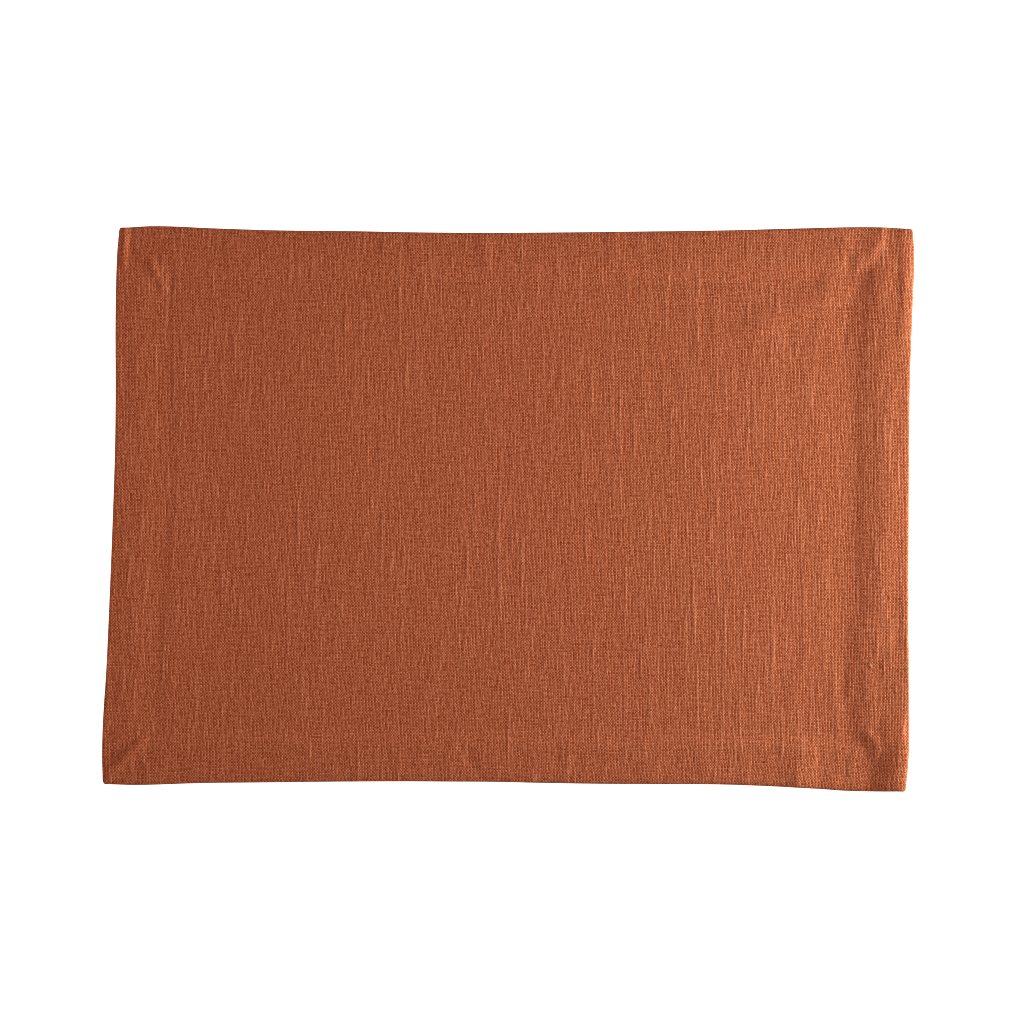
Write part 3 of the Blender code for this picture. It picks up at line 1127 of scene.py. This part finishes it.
def sew(name, ends, radius, material, face_up=False):
    """Copies one stitch to each pair of ends, on the face or on the underside, as one piece."""
    length = (ends[0][1] - ends[0][0]).length
    pattern = model_stitch(radius, length)
    turned_over = Quaternion((1.0, 0.0, 0.0), 0.0 if face_up else math.pi)
    stitches = []
    for start, end in ends:
        stitch = pattern.copy()
        stitch.data = pattern.data.copy()
        turn = (end - start).to_track_quat("X", "Z") @ turned_over
        stretch = ((end - start).length / length, 1.0, 1.0)
        stitch.matrix_world = Matrix.LocRotScale((start + end) / 2, turn, stretch)
        bpy.context.collection.objects.link(stitch)
        stitches.append(stitch)
    sewn = stitches[0]
    spare = [pattern.data, *(stitch.data for stitch in stitches[1:])]
    bpy.data.objects.remove(pattern)
    bpy.ops.object.select_all(action="DESELECT")
    for stitch in stitches:
        stitch.select_set(True)
    bpy.context.view_layer.objects.active = sewn
    if len(stitches) > 1:
        bpy.ops.object.join()
    bpy.ops.object.transform_apply(location=True, rotation=True, scale=True)
    bpy.data.batch_remove(spare)
    sewn.name = name
    sewn.data.name = name
    sewn.data.materials.append(material)
    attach(sewn, BODY)
    return sewn


class PLACEMAT_OT_sewing(bpy.types.Operator):
    """Sew down the hem and the mitres, and leave one loose end of yarn on the face"""

    bl_idname = "placemat.sewing"
    bl_label = "Sewing"

    def execute(self, context):
        settings = context.scene.placemat_sewing
        shape = MatShape(context.scene.placemat_cloth)
        radius = settings.thread / 2
        spacing = settings.stitch_spacing / MM
        thread = spun_polyester_thread(settings)
        sew("hem_stitches", hem_ends(shape, spacing), radius, thread)
        sew("mitre_stitches", mitre_ends(shape, spacing), radius, thread)
        sew("face_stitches", tick_ends(shape), radius, thread, face_up=True)
        yarn = [on_cloth(shape, *end, shape.face(*end) + LOOSE_YARN_HEIGHT) for end in LOOSE_YARN]
        thin = LOOSE_YARN_SHARE * radius
        sew("loose_yarn_end", [yarn], thin, loose_flax_yarn(settings), face_up=True)
        return {"FINISHED"}


# ---------------- pieces


class PLACEMAT_OT_cloth(bpy.types.Operator):
    """Lay out the hemmed cloth with its weave, folds and thick threads"""

    bl_idname = "placemat.cloth"
    bl_label = "Cloth"

    def execute(self, context):
        settings = context.scene.placemat_cloth
        shape = MatShape(settings)
        cloth = make_cloth(shape, settings)
        cloth.data.materials.append(piece_dyed_slub_linen(shape, settings))
        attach(cloth, BODY)
        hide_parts(SOLID)
        hem = settings.hem_width
        length = settings.length
        width = settings.width
        # The panel, the hems' strips with their slanted ends, and the edge folded in under them
        area = length * width + 2 * hem * (length + width - 2 * hem)
        area += 2 * settings.turn_in * (length + width - 4 * hem)
        return {"FINISHED"}


# The camera looks straight down and is turned a little. In metres
CAMERA_PLACE = (0.00206, -0.00356, 1.5147)
CAMERA_TURN = math.radians(0.8)
CAMERA_LENS = 85.0
# The table top lies just below the stitches of the underside
FLOOR_SIZE = 6.0
FLOOR_DROP = 0.0003
# In pixels, where Blender's own is 1.5
PIXEL_FILTER = 1.1
# A low bluish light at the right, which shows the threads, and a wide one overhead. In metres
LIGHTS = table(
    "name place target size colour power",
    ("side_light", (0.9, 0.02, 0.129), (0.0, 0.0, 0.0), (0.286, 0.157), "ddffff", "side_power"),
    ("top_light", (-0.22, 0.05, 0.7), (-0.22, 0.05, 0.0), (1.43, 0.3), "ffffff", "top_power"),
)


def add_area_light(light, power):
    """A rectangular soft light of the table, facing its target."""
    data = bpy.data.lights.new(light.name, "AREA")
    data.shape = "RECTANGLE"
    data.size, data.size_y = light.size
    data.energy = power
    data.color = linear(light.colour)[:3]
    lamp = bpy.data.objects.new(light.name, data)
    lamp.location = light.place
    facing = Vector(light.target) - Vector(light.place)
    lamp.rotation_euler = facing.to_track_quat("-Z", "Y").to_euler()
    lamp.visible_camera = False
    bpy.context.collection.objects.link(lamp)


class PLACEMAT_OT_stage(bpy.types.Operator):
    """Set up the table top, the lights and the camera straight above"""

    bl_idname = "placemat.stage"
    bl_label = "Stage"

    def execute(self, context):
        scene = context.scene
        settings = scene.placemat_stage
        bpy.ops.mesh.primitive_plane_add(size=FLOOR_SIZE, location=(0.0, 0.0, -FLOOR_DROP))
        floor = context.object
        floor.name = "table_top"
        floor.data.materials.append(white_light_table(settings))

        for light in LIGHTS:
            add_area_light(light, getattr(settings, light.power))
        world = bpy.data.worlds.new("even_light")
        world.use_nodes = True
        background = world.node_tree.nodes["Background"]
        background.inputs["Color"].default_value = linear("ffffff")
        background.inputs["Strength"].default_value = settings.sky
        scene.world = world
        scene.view_settings.view_transform = "Standard"
        # The weave is about as fine as a pixel. Denoising would wipe it away, and a narrow pixel
        # filter keeps it crisp.
        scene.cycles.use_denoising = False
        scene.cycles.filter_width = PIXEL_FILTER

        camera_data = bpy.data.cameras.new("camera")
        camera_data.lens = CAMERA_LENS
        camera = bpy.data.objects.new("camera", camera_data)
        camera.location = CAMERA_PLACE
        camera.rotation_euler = (0.0, 0.0, CAMERA_TURN)
        context.collection.objects.link(camera)
        scene.camera = camera
        return {"FINISHED"}


class PLACEMAT_PT_panel(bpy.types.Panel):
    """Buttons for the pieces, in the order in which they are made"""

    bl_label = "Placemat"
    bl_idname = "PLACEMAT_PT_panel"
    bl_space_type = "VIEW_3D"
    bl_region_type = "UI"
    bl_category = "Placemat"

    def draw(self, context):
        for operator in OPERATORS:
            self.layout.operator(operator.bl_idname)


OPERATORS = (PLACEMAT_OT_sewing, PLACEMAT_OT_cloth, PLACEMAT_OT_stage)
SETTINGS = {
    "placemat_cloth": ClothSettings,
    "placemat_sewing": SewingSettings,
    "placemat_stage": StageSettings,
}


def register():
    for name, group in SETTINGS.items():
        bpy.utils.register_class(group)
        setattr(bpy.types.Scene, name, PointerProperty(type=group))
    for shown in (*OPERATORS, PLACEMAT_PT_panel):
        bpy.utils.register_class(shown)


def unregister():
    for shown in reversed((*OPERATORS, PLACEMAT_PT_panel)):
        bpy.utils.unregister_class(shown)
    for name, group in reversed(SETTINGS.items()):
        delattr(bpy.types.Scene, name)
        bpy.utils.unregister_class(group)


def main():
    register()
    bpy.ops.placemat.sewing()
    bpy.ops.placemat.cloth()
    bpy.ops.placemat.stage()


if __name__ == "__main__":
    main()
